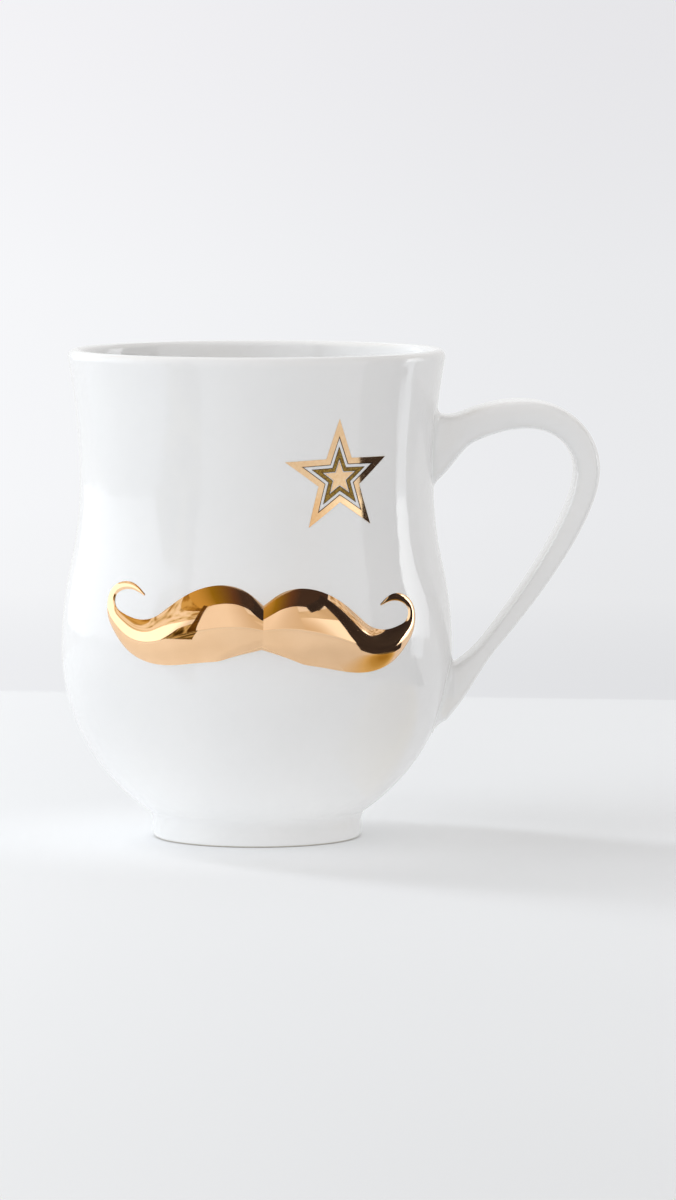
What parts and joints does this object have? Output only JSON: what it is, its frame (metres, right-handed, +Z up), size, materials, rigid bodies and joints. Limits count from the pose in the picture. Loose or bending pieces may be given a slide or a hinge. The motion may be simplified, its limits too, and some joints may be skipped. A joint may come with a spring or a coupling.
{
  "type": "mustache mug",
  "caption": "Bellied glazed ceramic mug on a small foot ring, with a flared lip, a strap ear handle, a gilded relief mustache and a gilded nested star.",
  "frame": {"origin": "middle of the foot ring, on the plane that it stands on", "axes": "+Z up along the cup's axis, +X towards the handle, -Y towards the mustache"},
  "size_m": [0.1212, 0.0908, 0.11],
  "materials": {
    "white_glaze": "glossy white glaze, bare clay on the foot ring",
    "relief_gold": "bright burnished gold lustre over glazed relief",
    "transfer_gold": "bright gold transfer fired on the glaze",
    "transfer_brown_gold": "brown-gold textured transfer fired on the glaze"
  },
  "bodies": {
    "root": {"cup_body": "white_glaze", "handle": "white_glaze", "mustache_left": "relief_gold", "mustache_right": "relief_gold", "star_outer_band": "transfer_gold", "star_middle_band": "transfer_brown_gold", "star_centre": "transfer_gold"}
  },
  "joints": []
}
